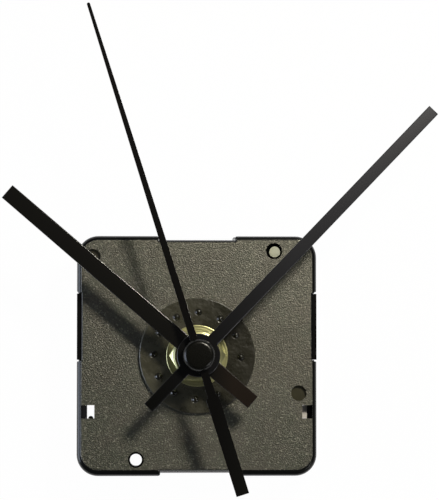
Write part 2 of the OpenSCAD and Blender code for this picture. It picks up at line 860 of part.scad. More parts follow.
module quartz_crystal() {
    can_r = 1;
    can_len = 6;
    wire_r = 0.15;
    wire_len = 1.3;
    can_z = board_z + board_t + can_r;
    can_at = board_at + [board_w / 2 - can_r - 0.6, 5];
    color([0.75, 0.75, 0.77]) {
        translate([can_at[0], can_at[1], can_z])
            rotate([-90, 0, 0])
                cylinder(r = can_r, h = can_len);
        for (x = [-0.4, 0.4])
            translate([can_at[0] + x, can_at[1] - wire_len, can_z])
                rotate([-90, 0, 0])
                    cylinder(r = wire_r, h = wire_len + merge);
    }
}

// Upright plate at one end of the bay, with the fold that shows in its window
module contact_plate(inner_x, fold) {
    box([inner_x, bay_y - contact_w / 2, contact_z],
        [inner_x + strip_t, bay_y + contact_w / 2, fold_z]);
    box([inner_x, window_y - tab_w / 2, contact_z + 2],
        [inner_x + strip_t, window_y + tab_w / 2, fold_z]);
    box([inner_x + min(fold, 0), window_y - tab_w / 2, fold_z - strip_t],
        [inner_x + strip_t + max(fold, 0), window_y + tab_w / 2, fold_z]);
}

module contact_positive() {
    inner_x = bay_len / 2 - contact_gap - strip_t;
    pad_half = 2.5;
    pad_t = 0.5;
    foot_y = strip_y + 3;
    color([0.72, 0.72, 0.7]) {
        contact_plate(inner_x, -1.1);
        // raised pad that meets the cell's button
        box([inner_x - pad_t, bay_y - pad_half, cell_d / 2 - pad_half],
            [inner_x, bay_y + pad_half, cell_d / 2 + pad_half]);
        box([inner_x, window_y, foot_z], [inner_x + strip_t, foot_y, foot_z + foot_h]);
        box([inner_x - foot_h, foot_y - foot_h, foot_z], [inner_x + strip_t, foot_y, foot_z + strip_t]);
    }
}

module contact_negative() {
    inner_x = -bay_len / 2 + contact_gap;
    board_left = board_at[0] - board_w / 2;
    leaf_w = 6;
    leaf_x = inner_x + 1.9;
    leaf_end_x = inner_x + 1.1;
    leaf_z = 7;
    leaf_end_z = 11;
    color([0.72, 0.72, 0.7]) {
        mirror([1, 0, 0])
            contact_plate(-inner_x - strip_t, 0.85);
        // bent leaf that presses on the cell's flat end
        translate([0, bay_y + leaf_w / 2, 0])
            rotate([90, 0, 0])
                linear_extrude(leaf_w)
                    polygon([[inner_x + strip_t, contact_z], [leaf_x, leaf_z], [leaf_end_x, leaf_end_z],
                        [leaf_end_x - strip_t, leaf_end_z], [leaf_x - strip_t, leaf_z + 0.1],
                        [inner_x, contact_z + 0.6], [inner_x, contact_z]]);
        box([inner_x, window_y, foot_z], [inner_x + strip_t, strip_y + strip_t, foot_z + foot_h]);
        box([inner_x, strip_y, foot_z], [board_left + foot_h, strip_y + strip_t, foot_z + foot_h]);
        box([board_left + 0.4, strip_y, foot_z],
            [board_left + foot_h, strip_y + foot_h, foot_z + strip_t]);
    }
}

module rotor_pinion() {
    color([0.9, 0.88, 0.8]) {
        gear(pinion_teeth, rotor_module, rotor_phase,
            step_z - end_gap, step_z + wheel_t + tooth_reach, rotor_at);
        rod(arbor_r + 0.2, step_z + wheel_t, magnet_z, rotor_at);
        rod(pivot_r, pivot_z, bridge_z + bridge_t, rotor_at);
    }
}

module rotor_magnet() {
    color([0.3, 0.3, 0.32])
        difference() {
            rod(magnet_r, magnet_z, magnet_top, rotor_at);
            rod(pivot_r, magnet_z - over, magnet_top + over, rotor_at);
        }
}

module step_wheel() {
    color([0.86, 0.84, 0.78]) {
        wheel(step_teeth, rotor_module, 0, step_z, step_at, 4);
        gear(pinion_teeth, train_module, step_phase,
            step_z + wheel_t - merge, second_z + wheel_t + tooth_reach, step_at);
        rod(pivot_r, pivot_z, bridge_z + bridge_t, step_at);
    }
}

module second_shaft() {
    color([0.75, 0.75, 0.77])
        rod(second_shaft_r, pivot_z, second_shaft_top);
}

module second_wheel() {
    color([0.86, 0.84, 0.78])
        difference() {
            union() {
                wheel(second_teeth, train_module, 0, second_z);
                gear(pinion_teeth, train_module, 0,
                    second_z + wheel_t - merge, third_z + wheel_t + tooth_reach);
            }
            rod(second_shaft_r, second_z - over, third_z + wheel_t + over);
        }
}

module second_hand() {
    // points of the right-hand edge, from the tip to the end of the tail
    flare_end = 10.4;
    hub_r = cap_r - 0.7;
    hand_top = second_hand_z + second_hand_t;
    edge = [[second_tip_w / 2, second_len - second_tip_w / 2], [second_w / 3, second_len * 2 / 3],
        [second_w / 2, cap_r], [second_w / 2, -cap_r],
        [second_tail_w / 2, -flare_end], [second_tail_w / 2, -second_tail_len]];
    left = [for (i = [len(edge) - 1 : -1 : 0]) [-edge[i][0], edge[i][1]]];
    color([0.1, 0.1, 0.1])
        rotate([0, 0, -second_angle])
            difference() {
                union() {
                    translate([0, 0, second_hand_z])
                        linear_extrude(second_hand_t)
                            polygon(concat(edge, left));
                    rod(second_tip_w / 2, second_hand_z, hand_top, [0, second_len - second_tip_w / 2]);
                    rod(hub_r, second_hand_z, hand_top);
                }
                rod(cap_tube_r, second_hand_z - over, hand_top + over);
            }
}

// Cap with the tube that grips the second shaft
module hand_cap() {
    cap_z = second_hand_z + second_hand_t;
    tube_z = second_hand_z - 1;
    rim_in = 0.15;
    rim_h = 0.3;
    round_x = cap_r - cap_round;
    round_z = cap_z + cap_h - cap_round;
    color([0.06, 0.06, 0.06])
        difference() {
            union() {
                rotate_extrude($fn = 64)
                    polygon(concat([[0, cap_z], [cap_r - rim_in, cap_z], [cap_r, cap_z + rim_h]],
                        [for (a = [0 : 10 : 90])
                            [round_x + cap_round * cos(a), round_z + cap_round * sin(a)]],
                        [[0, cap_z + cap_h]]));
                rod(cap_tube_r, tube_z, cap_z + merge);
            }
            rod(second_shaft_r, tube_z - over, second_shaft_top);
        }
}

module third_wheel() {
    color([0.86, 0.84, 0.78]) {
        wheel(third_teeth, train_module, third_phase, third_z, third_at);
        gear(pinion_teeth, centre_module, 0,
            third_z + wheel_t - merge, centre_z + wheel_t + tooth_reach, third_at);
        rod(pivot_r, pivot_z, third_boss_z + third_bearing - 2 * end_gap, third_at);
        rod(arbor_r + 0.3, cover_t + 2 * end_gap, third_z + merge, third_at);
    }
}

module centre_wheel() {
    color([0.9, 0.88, 0.8])
        difference() {
            union() {
                wheel(centre_teeth, centre_module, centre_phase, centre_z);
                rod(minute_pipe_r + 1, centre_z, centre_z + wheel_t + end_gap);
            }
            rod(minute_pipe_r + play, centre_z - over, centre_z + wheel_t + over);
        }
}

// Sprung washer that presses the centre wheel against the pipe's pinion
module clutch_spring() {
    spring_t = 0.15;
    spring_z = centre_z - 0.3;
    color([0.7, 0.7, 0.72])
        difference() {
            rod(minute_pipe_r + 1.4, spring_z, spring_z + spring_t);
            rod(minute_pipe_r, spring_z - over, centre_z);
        }
}

module minute_pipe() {
    color([0.78, 0.68, 0.38])
        difference() {
            union() {
                rod(minute_pipe_r, bridge_z + bridge_t + end_gap, minute_hand_z + hand_t + shaft_proud);
                gear(cannon_teeth, cannon_module, 0,
                    centre_z + wheel_t + 2 * end_gap, motion_z + wheel_t + 2 * tooth_reach);
            }
            rod(second_shaft_r + play, bridge_z, second_hand_z);
        }
}

module flat_hand(length, tail, w_hub, w_tip, w_tail, eye, z) {
    translate([0, 0, z]) {
        linear_extrude(hand_t)
            polygon([[w_tip / 2, length], [w_hub / 2, 0], [w_tail / 2, -tail],
                [-w_tail / 2, -tail], [-w_hub / 2, 0], [-w_tip / 2, length]]);
        cylinder(r = eye, h = hand_t, $fn = 64);
    }
}

// Short tube under a hand's eye that grips its shaft
module collet(shaft_r, z) {
    collet_wall = 0.6;
    collet_h = 0.8;
    rod(shaft_r + collet_wall, z - collet_h, z + merge);
}

module minute_hand() {
    color([0.12, 0.12, 0.12])
        rotate([0, 0, -minute_angle])
            difference() {
                union() {
                    flat_hand(minute_len, tail_len, minute_w, minute_w - 0.1, minute_w - 0.3, eye_r,
                        minute_hand_z);
                    collet(minute_pipe_r, minute_hand_z);
                }
                rod(minute_pipe_r, minute_hand_z - 1, minute_hand_z + 1);
            }
}

module motion_wheel() {
    color([0.86, 0.84, 0.78]) {
        wheel(motion_teeth, cannon_module, motion_phase, motion_z, motion_at);
        gear(motion_pinion_teeth, hour_module, 0,
            motion_z + wheel_t - merge, hour_z + wheel_t + tooth_reach, motion_at);
        rod(motion_arbor_r, knob_sink + knob_web, motion_z + merge, motion_at);
        rod(motion_pivot_r, hour_z + wheel_t, face_in + motion_bearing - end_gap, motion_at);
    }
}

module setting_knob() {
    flute_r = 0.35;
    dimple_r = 2.2;
    dimple_depth = 0.45;
    color([0.1, 0.1, 0.1])
        difference() {
            rod(knob_r, knob_sink, knob_sink + knob_t, motion_at);
            for (i = [0 : flute_count - 1])
                rod(flute_r, knob_sink - over, knob_sink + knob_t + over,
                    motion_at + polar(knob_r + 0.1, i * 360 / flute_count));
            // dimples that a fingertip turns
            for (a = [90, 210, 330])
                translate(concat(motion_at + polar(knob_r * 0.62, a), knob_sink + dimple_depth - dimple_r))
                    sphere(r = dimple_r);
            rod(motion_arbor_r, knob_sink + knob_web, knob_sink + knob_t + over, motion_at);
        }
}

module hour_wheel() {
    color([0.9, 0.88, 0.82])
        difference() {
            union() {
                wheel(hour_teeth, hour_module, hour_phase, hour_z);
                rod(hour_tube_r + 0.8, hour_z - 0.3, hour_z + wheel_t + hub_rise);
                rod(hour_tube_r, hour_z, hour_hand_z + hand_t + shaft_proud);
            }
            rod(minute_pipe_r + play, hour_z - over, minute_hand_z);
        }
}

module hour_hand() {
    color([0.08, 0.08, 0.07])
        rotate([0, 0, -hour_angle])
            difference() {
                union() {
                    flat_hand(hour_len, tail_len, hour_w, hour_tip_w, hour_tip_w - 0.3, eye_r - 0.2,
                        hour_hand_z);
                    collet(hour_tube_r, hour_hand_z);
                }
                rod(hour_tube_r, hour_hand_z - 1, hour_hand_z + 1);
            }
}

front_housing();
rear_cover();
threaded_bush();
rubber_washer();
flat_washer();
hex_nut();
train_bridge();
stator();
coil_core();
coil_bobbin();
coil_winding();
circuit_board();
chip_cap();
quartz_crystal();
contact_positive();
contact_negative();
rotor_pinion();
rotor_magnet();
step_wheel();
second_shaft();
second_wheel();
second_hand();
hand_cap();
third_wheel();
centre_wheel();
clutch_spring();
minute_pipe();
minute_hand();
motion_wheel();
setting_knob();
hour_wheel();
hour_hand();
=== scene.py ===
# %% [markdown]
# # A quartz clock movement with its three hands
# The movement lies face up on a white table. Its working pieces come from the frame,
# which has every piece at its real size. This script gives each surface its finish and
# models again the pieces whose edges, threads or turned lines are too fine for the frame:
# the hands, their cap, both washers, the nut and the bush.
# Positions are in millimetres, in the frame's axes: X to three o'clock, Y to twelve
# o'clock, Z towards the person who reads the clock.

# %% Frame
import json
import math

import bmesh
import bpy
from mathutils import Matrix, Vector

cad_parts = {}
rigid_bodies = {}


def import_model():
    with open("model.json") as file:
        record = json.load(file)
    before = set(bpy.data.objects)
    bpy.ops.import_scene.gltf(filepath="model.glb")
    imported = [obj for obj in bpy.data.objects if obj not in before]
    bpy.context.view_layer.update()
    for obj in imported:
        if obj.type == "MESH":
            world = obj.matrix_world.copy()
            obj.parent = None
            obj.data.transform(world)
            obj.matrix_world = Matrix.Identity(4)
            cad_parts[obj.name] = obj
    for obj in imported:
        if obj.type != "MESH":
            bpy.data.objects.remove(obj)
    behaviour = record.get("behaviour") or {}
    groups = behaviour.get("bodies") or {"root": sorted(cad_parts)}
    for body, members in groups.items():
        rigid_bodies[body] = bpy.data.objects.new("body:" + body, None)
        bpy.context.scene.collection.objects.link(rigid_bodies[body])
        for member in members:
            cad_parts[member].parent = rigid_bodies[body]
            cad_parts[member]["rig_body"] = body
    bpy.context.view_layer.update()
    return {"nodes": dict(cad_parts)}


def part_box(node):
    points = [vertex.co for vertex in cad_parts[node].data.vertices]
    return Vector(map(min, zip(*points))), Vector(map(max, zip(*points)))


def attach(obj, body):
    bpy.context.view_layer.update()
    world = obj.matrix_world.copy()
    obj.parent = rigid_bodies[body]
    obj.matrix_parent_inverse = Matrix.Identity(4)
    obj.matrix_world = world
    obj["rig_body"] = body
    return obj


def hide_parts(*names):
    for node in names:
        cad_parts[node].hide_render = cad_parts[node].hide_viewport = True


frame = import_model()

MM = 0.001
nodes = frame["nodes"]


def box_mm(name):
    """Lowest and highest corner of one piece of the frame, in millimetres."""
    low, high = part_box(name)
    return low / MM, high / MM


face_z = box_mm("front_housing")[1].z
half_w = box_mm("front_housing")[1].x
print("case: half width", round(half_w, 2), "front face at", round(face_z, 2))

# %% [markdown]
# ## Helpers for shapes
# Most small clock parts are turned on a lathe, so most pieces here are an outline of
# radii and heights, spun round the shaft. The hands are stamped from sheet, so they are
# flat outlines pushed up to the sheet's thickness.

# %% Shape helpers
def arc(x, y, radius, start, end, steps):
    """Points on an arc about (x, y), from one angle in degrees to another."""
    turns = [math.radians(start + (end - start) * i / steps) for i in range(steps + 1)]
    return [(x + radius * math.cos(t), y + radius * math.sin(t)) for t in turns]


def spin(bm, outline, closed=True, steps=96, turn=360, rise=0):
    """Turns an outline of (radius, height) points round the Z axis; rise makes it a helix."""
    corners = [bm.verts.new((r, 0, z)) for r, z in outline]
    pairs = list(zip(corners, corners[1:]))
    if closed:
        pairs.append((corners[-1], corners[0]))
    edges = [bm.edges.new(pair) for pair in pairs]
    bmesh.ops.spin(bm, geom=corners + edges, cent=(0, 0, 0), axis=(0, 0, 1),
                   angle=math.radians(turn), steps=steps, dvec=(0, 0, rise / steps),
                   use_merge=(turn == 360 and rise == 0))
    bmesh.ops.remove_doubles(bm, verts=bm.verts, dist=0.0005)


def soften(bm, edges, width, segments=2):
    """Rounds edges as tumbling or moulding leaves them."""
    bmesh.ops.bevel(bm, geom=edges, offset=width, offset_type="OFFSET", segments=segments,
                    profile=0.5, affect="EDGES", clamp_overlap=True, material=-1)


def sharp_edges(bm, degrees):
    """Edges whose two faces meet at more than this angle."""
    limit = math.radians(degrees)
    return [e for e in bm.edges if len(e.link_faces) == 2 and e.calc_face_angle() > limit]


def stand_in(bm, name, material, node):
    """Makes the bmesh an object that stands for one node of the frame and moves with it."""
    bmesh.ops.recalc_face_normals(bm, faces=bm.faces)
    bmesh.ops.scale(bm, vec=(MM, MM, MM), verts=bm.verts)
    mesh = bpy.data.meshes.new(name)
    bm.to_mesh(mesh)
    bm.free()
    mesh.shade_smooth()
    mesh.set_sharp_from_angle(angle=math.radians(35))
    mesh.materials.append(material)
    made = bpy.data.objects.new(name, mesh)
    bpy.context.scene.collection.objects.link(made)
    even = made.modifiers.new("even_normals", "WEIGHTED_NORMAL")
    even.keep_sharp = True
    even.weight = 100
    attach(made, nodes[node]["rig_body"])
    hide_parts(node)
    print(name, "has", len(mesh.polygons), "faces")
    return made


# %% [markdown]
# ## Helpers for materials
# Colours are written as the eye sees them, as sRGB hex, and turned into linear light for
# the renderer. Patterns are sized in millimetres, from the object's own coordinates.

# %% Material helpers
def colour(hex_code):
    """An sRGB hex code as linear RGBA."""
    parts = [int(hex_code[i:i + 2], 16) / 255 for i in (1, 3, 5)]
    linear = [p / 12.92 if p <= 0.04045 else ((p + 0.055) / 1.055) ** 2.4 for p in parts]
    return (*linear, 1.0)


def add(tree, kind, inputs=None, **settings):
    """Adds a shader node. Each input is named or numbered, and is a value or a socket to link."""
    made = tree.nodes.new("ShaderNode" + kind)
    for name, value in settings.items():
        setattr(made, name, value)
    for socket, value in (inputs or {}).items():
        if isinstance(value, bpy.types.NodeSocket):
            tree.links.new(value, made.inputs[socket])
        else:
            made.inputs[socket].default_value = value
    return made


def new_material(name):
    """An empty node material, with its coordinates in millimetres."""
    material = bpy.data.materials.new(name)
    material.use_nodes = True
    tree = material.node_tree
    tree.nodes.clear()
    place = add(tree, "TexCoord")
    in_mm = add(tree, "VectorMath", {0: place.outputs["Object"], "Scale": 1 / MM},
                operation="SCALE").outputs[0]
    return material, tree, in_mm


def surface(tree, inputs):
    """The principled shader that ends a material."""
    shader = add(tree, "BsdfPrincipled", inputs)
    add(tree, "OutputMaterial", {"Surface": shader.outputs[0]})


def noise(tree, place, per_mm, detail=2.0, roughness=0.5):
    """Noise from 0 to 1 with so many grains to the millimetre."""
    return add(tree, "TexNoise", {"Vector": place, "Scale": per_mm, "Detail": detail,
                                  "Roughness": roughness}).outputs["Fac"]


def spread(tree, value, low, high):
    """Stretches a 0 to 1 value between two others."""
    return add(tree, "MapRange", {"Value": value, "From Min": 0.25, "From Max": 0.75,
                                  "To Min": low, "To Max": high}).outputs[0]


def bump(tree, height, depth_mm):
    """A normal from a height of 0 to 1, this deep in millimetres."""
    return add(tree, "Bump", {"Height": height, "Strength": 1.0,
                              "Distance": depth_mm * MM}).outputs[0]


# %% [markdown]
# ## Mixing helpers
# A mask is a value from 0 to 1 that says where on a surface a finish applies. Two masks
# multiplied apply only where both do.

# %% Mixing helpers
def step_between(tree, value, low, high):
    """Rises smoothly from 0 at low to 1 at high."""
    return add(tree, "MapRange", {"Value": value, "From Min": low, "From Max": high},
               interpolation_type="SMOOTHSTEP").outputs[0]


def blend(tree, share, first, second):
    """Mixes two colours by a share from 0 to 1."""
    return add(tree, "Mix", {0: share, 6: first, 7: second}, data_type="RGBA").outputs[2]


def blend_values(tree, share, first, second):
    """Mixes two plain values by a share from 0 to 1."""
    return add(tree, "Mix", {0: share, 2: first, 3: second}).outputs[0]


def arithmetic(tree, operation, first, second):
    """One step of arithmetic on two values."""
    return add(tree, "Math", {0: first, 1: second}, operation=operation).outputs[0]


def multiply(tree, first, second):
    """The product of two values, or the overlap of two masks."""
    return arithmetic(tree, "MULTIPLY", first, second)


def coordinate(tree, vector, axis):
    """One coordinate of a vector: 0, 1 and 2 are X, Y and Z."""
    return add(tree, "SeparateXYZ", {0: vector}).outputs[axis]


def shade(hex_code, share):
    """A colour with only a share of its light."""
    return tuple(c * share for c in colour(hex_code)[:3]) + (1.0,)


def tell(*materials):
    """Says how large each material's node tree has become."""
    for material in materials:
        print(material.name, "has", len(material.node_tree.nodes), "shader nodes")


# %% [markdown]
# ## Outline of the case
# Seen from the front the case is a rounded square. A band of about one millimetre along
# its outline was polished in the mould, and it is a little wider at six o'clock. The
# material finds that band by each point's distance to the outline.

# %% Case outline
band_w, foot_band_w = 1.0, 1.4
corner_r = 5.0
beyond_mm = 1000  # so far that the height never counts in the distance


def outline_distance(tree, place):
    """Distance to the case's rounded square outline in millimetres, negative inside it."""
    def vector(operation, first, second=(0, 0, 0)):
        """One step of vector arithmetic."""
        return add(tree, "VectorMath", {0: first, 1: second}, operation=operation)

    inner = half_w - corner_r
    wider = (foot_band_w - band_w) / 2
    centred = vector("ADD", place, (0, -wider, 0)).outputs[0]
    flat = vector("ABSOLUTE", centred).outputs[0]
    past = vector("SUBTRACT", flat, (inner, inner - wider, beyond_mm)).outputs[0]
    outside = vector("MAXIMUM", past).outputs[0]
    reach = vector("LENGTH", outside).outputs["Value"]
    side = arithmetic(tree, "MAXIMUM", coordinate(tree, past, 0), coordinate(tree, past, 1))
    inside = arithmetic(tree, "MINIMUM", side, 0.0)
    total = arithmetic(tree, "ADD", reach, inside)
    return arithmetic(tree, "SUBTRACT", total, corner_r)


print("polished band:", band_w, "mm wide, and", foot_band_w, "mm at six o'clock")

# %% [markdown]
# ## Moulded black plastic of the case
# The mould for the case is spark eroded, which leaves a fine even grain on the flat face.
# The grain catches light on its tiny slopes. Although the plastic is black, that light is
# painted into the face's colour as an olive grey painted sheen, with painted shade in the
# grain's pits and a few painted glints. The polished band stays dark and glossy. The
# grained face stands a hair proud of it, which draws a fine line between the two. The
# floors of the two blind holes look up from one millimetre lower. They are plain and matt,
# and painted lighter than the black walls as painted light.

# %% Case plastic
step_w = 0.16
blind_depth, margin = 1.0, 0.1
grain_per_mm, painted_glint_per_mm, cloud_per_mm, tone_per_mm = 3.0, 2.6, 0.3, 0.22
case_relief = 0.14


def facing_up(tree):
    """1 where the surface looks straight up."""
    normal = add(tree, "NewGeometry").outputs["True Normal"]
    return step_between(tree, coordinate(tree, normal, 2), 0.97, 0.99)


def grain_with_painted_light(tree, place, grain):
    """Olive grey painted sheen on the grain, with painted shade in its pits, soft clouds and a few
    painted glints.
    """
    # Painted sheen: the olive grey stands for light that the grain catches on black plastic.
    painted_sheen_tone = blend(tree, spread(tree, noise(tree, place, tone_per_mm, 1.0), 0.0, 1.0),
                 colour("#343b29"), colour("#3c382c"))
    # Painted shade: the grain's low spots are darkened as pits.
    painted_pits_and_sheen = blend(tree, grain, colour("#12120d"), painted_sheen_tone)
    cloud = noise(tree, place, cloud_per_mm, 3.0)
    clouded = blend(tree, spread(tree, cloud, 0.0, 0.3), painted_pits_and_sheen, colour("#22221b"))
    # Painted highlights: a few bright glints are mixed into the colour.
    painted_glint = step_between(tree, noise(tree, place, painted_glint_per_mm, 1.0), 0.6, 0.7)
    return blend(tree, multiply(tree, painted_glint, 0.65), clouded, colour("#7c7b6c"))


def case_plastic():
    """Black plastic: grained on the face, polished on the band, plain in the holes; painted light
    on the face and the hole floors.
    """
    material, tree, place = new_material("spark_eroded_black_plastic")
    distance = outline_distance(tree, place)
    height = coordinate(tree, place, 2)
    flat = facing_up(tree)
    inside = step_between(tree, distance, -band_w + step_w / 2, -band_w - step_w / 2)
    on_top = step_between(tree, height, face_z - 3 * margin, face_z - margin)
    floor_z = face_z - blind_depth
    in_hole = multiply(tree, step_between(tree, height, floor_z - 2 * margin, floor_z - margin),
                       step_between(tree, height, floor_z + 2 * margin, floor_z + margin))
    textured = multiply(tree, multiply(tree, inside, flat), on_top)
    # Painted light: the floors of the blind holes are coloured lighter than the black plastic.
    painted_lit_floor = multiply(tree, flat, in_hole)
    grain = step_between(tree, noise(tree, place, grain_per_mm, 2.0, 0.6), 0.3, 0.7)
    black_with_painted_lit_floor = blend(tree, painted_lit_floor, colour("#0b0c0c"), colour("#3a382c"))
    tint = blend(tree, textured, black_with_painted_lit_floor, grain_with_painted_light(tree, place, grain))
    outermost = step_between(tree, distance, -band_w + 0.2, -band_w + 0.4)
    polished = blend(tree, outermost, colour("#c4c4bc"), colour("#9c9d9a"))
    relief = multiply(tree, multiply(tree, grain, textured), 0.3)
    stepped = arithmetic(tree, "ADD", relief, multiply(tree, inside, 0.5))
    surface(tree, {"Base Color": tint, "Roughness": blend_values(tree, textured, 0.2, 0.4),
                   "Specular Tint": blend(tree, textured, polished, colour("#fffcf2")),
                   "Specular IOR Level": 1.0, "Normal": bump(tree, stepped, case_relief)})
    return material


plastic_case = case_plastic()
tell(plastic_case)

# %% [markdown]
# ## Other plastics
# The rear cover comes from a polished mould, so its latches mirror the room. The wheels
# and the bridge are unfilled acetal: milky, waxy and a little translucent. The cap is
# satin black, and the resin over the chip is darker and smoother.

# %% Plastics
def plain_plastic(name, base, rough, grain_depth=0.01, per_mm=4.0, wax=0.0, gloss=0.5):
    """Moulded plastic with a faint grain. Wax is the share of light that wanders under its skin."""
    material, tree, place = new_material(name)
    grain = noise(tree, place, per_mm, 2.0)
    cloud = noise(tree, place, 0.5, 2.0)
    tint = blend(tree, spread(tree, cloud, 0.0, 1.0), colour(base), shade(base, 0.8))
    surface(tree, {"Base Color": tint,
                   "Roughness": spread(tree, grain, rough * 0.85, rough * 1.15),
                   "Subsurface Weight": wax, "Subsurface Scale": 0.6 * MM,
                   "Subsurface Radius": (1.0, 1.0, 0.9), "Specular IOR Level": gloss,
                   "Normal": bump(tree, grain, grain_depth)})
    return material


plastic_cover = plain_plastic("polished_black_plastic", "#0b0b0b", 0.16, 0.003, 1.5)
plastic_knob = plain_plastic("moulded_black_knob_plastic", "#161616", 0.35)
plastic_cap = plain_plastic("satin_black_cap_plastic", "#0a0a07", 0.26, 0.001, gloss=0.3)
acetal = plain_plastic("milky_acetal", "#b0b3a0", 0.38, 0.006, 3.0, wax=0.2)
acetal_bobbin = plain_plastic("ivory_bobbin_plastic", "#d6cfb6", 0.45, 0.008, 3.0, wax=0.2)
resin = plain_plastic("black_potting_resin", "#050505", 0.3, 0.01, 1.0)
tell(plastic_cover, plastic_knob, plastic_cap, acetal, acetal_bobbin, resin)

# %% [markdown]
# ## Rubber
# The washer's rubber is duller than plastic, and its skin dips where it shrank in the
# mould, so its sheen is uneven. Talc from the mould dusts it in patches, and its colour is
# painted lighter towards the left as painted light from the left. Its bumps are coloured
# darker than the ring and are smoother, so they catch small glints.

# %% Rubber
def moulded_rubber():
    """Dusty black rubber, painted lighter to the left, whose sheen changes from place to place,
    with darker, smoother bumps.
    """
    material, tree, place = new_material("black_rubber")
    dips = noise(tree, place, 0.32, 3.0, 0.6)
    pores = noise(tree, place, 2.4, 2.0)
    ring_top = box_mm("flat_washer")[0].z
    on_bumps = step_between(tree, coordinate(tree, place, 2), ring_top + 0.04, ring_top + 0.2)
    # Painted light: the rubber's colour grows lighter towards the left.
    painted_left_light = add(tree, "MapRange", {"Value": coordinate(tree, place, 0),
                                    "From Min": -12.0, "From Max": 8.0,
                                    "To Min": 1.0, "To Max": 0.15}).outputs[0]
    dust_and_left_light = multiply(tree, painted_left_light, spread(tree, dips, 0.4, 1.0))
    dusty_and_lit = blend(tree, dust_and_left_light, colour("#15140d"), colour("#4d4b3d"))
    speckled = blend(tree, spread(tree, pores, 0.0, 0.3), dusty_and_lit, colour("#35342a"))
    # The bumps are coloured darker than the ring.
    tint = blend(tree, on_bumps, speckled, colour("#17160f"))
    sheen = spread(tree, dips, 0.22, 0.36)
    relief = arithmetic(tree, "ADD", dips, multiply(tree, pores, 0.06))
    surface(tree, {"Base Color": tint, "Roughness": blend_values(tree, on_bumps, sheen, 0.2),
                   "Normal": bump(tree, relief, 0.25)})
    return material


rubber = moulded_rubber()
tell(rubber)

# %% [markdown]
# ## Metals
# The nut and washer are brass under a thin yellowish passivation, turned on a lathe, so
# fine rings run round them. One contact is dull nickel plated strip, and the sprung one is
# polished steel, its colour painted darker than the steel wire's as painted shade. Ring
# lines are a wave pattern of the distance from the shaft, and the lines of strip and wire
# are noise stretched along the metal.

# %% Metals
RINGS_A_MM = 3.18  # what the wave pattern draws at a scale of one


def turned_metal(name, base, rough, ring_mm, ring_depth):
    """Metal with the fine concentric rings that a lathe leaves round the shaft."""
    material, tree, place = new_material(name)
    rings = add(tree, "TexWave", {"Vector": place, "Scale": 1 / ring_mm / RINGS_A_MM,
                                  "Distortion": 0.6, "Detail": 2.0, "Detail Scale": 1.5},
                wave_type="RINGS", rings_direction="Z").outputs["Fac"]
    stain = noise(tree, place, 0.5, 2.0)
    tint = blend(tree, spread(tree, stain, 0.0, 0.5), colour(base), shade(base, 0.7))
    surface(tree, {"Base Color": tint, "Metallic": 1.0,
                   "Roughness": spread(tree, stain, rough * 0.9, rough * 1.2),
                   "Normal": bump(tree, rings, ring_depth)})
    return material


def strip_metal(name, base, rough, direction):
    """Rolled strip or wire, with fine lines along its length."""
    material, tree, place = new_material(name)
    squeeze = tuple(0.3 if axis == direction else 6.0 for axis in "xyz")
    drawn = add(tree, "VectorMath", {0: place, 1: squeeze}, operation="MULTIPLY").outputs[0]
    lines = noise(tree, drawn, 1.0, 3.0)
    surface(tree, {"Base Color": colour(base), "Metallic": 1.0,
                   "Roughness": spread(tree, lines, rough * 0.8, rough * 1.25),
                   "Normal": bump(tree, lines, 0.006)})
    return material


brass = turned_metal("passivated_brass", "#cbc995", 0.32, 0.6, 0.02)
bush_brass = turned_metal("plain_brass", "#c2ad62", 0.24, 0.3, 0.004)
nickel = strip_metal("nickel_plated_strip", "#dedad6", 0.45, "y")
# Painted shade: this steel is coloured much darker than the polished steel wire.
shaded_spring_steel = strip_metal("polished_spring_strip", "#8a8a88", 0.12, "z")
steel_sheet = strip_metal("silicon_steel_sheet", "#a9a9ad", 0.36, "x")
steel_wire = strip_metal("polished_steel_wire", "#c9c9cc", 0.16, "z")
ferrite = plain_plastic("dark_ferrite", "#35353a", 0.5, 0.02, 8.0)
tell(brass, bush_brass, nickel, shaded_spring_steel, steel_sheet, steel_wire, ferrite)

# %% [markdown]
# ## Paint on the hands
# The hands are aluminium sheet under satin black paint, with a thin clear coat. Towards
# the right a painted reflection lightens their colour, so the minute hand turns from black
# at the shaft to grey at its tip, and the short ends of the hour and second hands are a
# warmer black. The minute hand's paint also gets rougher towards its tip.

# %% Hand paint
def painted_hand(name, paint_colour, painted_reflection_colour, rough, start, end, sheen="#ffffff", gloss=0.5):
    """Black paint on sheet. From start to end along X a painted reflection lightens it, and its
    roughness changes.
    """
    material, tree, place = new_material(name)
    peel = noise(tree, place, 2.2, 2.0)
    reflection_and_roughness_share = add(tree, "MapRange", {"Value": coordinate(tree, place, 0),
                                      "From Min": start, "From Max": end}).outputs[0]
    # Painted reflection: along X the colour goes from the paint towards a lighter reflection
    # colour.
    surface(tree, {"Base Color": blend(tree, reflection_and_roughness_share, colour(paint_colour), colour(painted_reflection_colour)),
                   "Roughness": blend_values(tree, reflection_and_roughness_share, *rough),
                   "Specular Tint": colour(sheen), "Specular IOR Level": gloss,
                   "Coat Weight": 0.6, "Coat Roughness": 0.12,
                   "Normal": bump(tree, peel, 0.003)})
    return material


paint_hour = painted_hand("satin_black_paint_hour", "#0a0906", "#1b140d", (0.22, 0.22), 3, 8)
paint_minute = painted_hand("satin_black_paint_minute", "#050502", "#0b0b0d", (0.24, 0.43), -12, 22,
                            sheen="#e8eafa", gloss=0.25)
paint_second = painted_hand("satin_black_paint_second", "#030201", "#0c0c08", (0.2, 0.2), 4, 12)
tell(paint_hour, paint_minute, paint_second)

# %% [markdown]
# ## Coil wire and circuit board
# The coil is enamelled copper wire far thinner than a hair, wound in close turns. The
# board is brown phenolic paper with a faint weave.

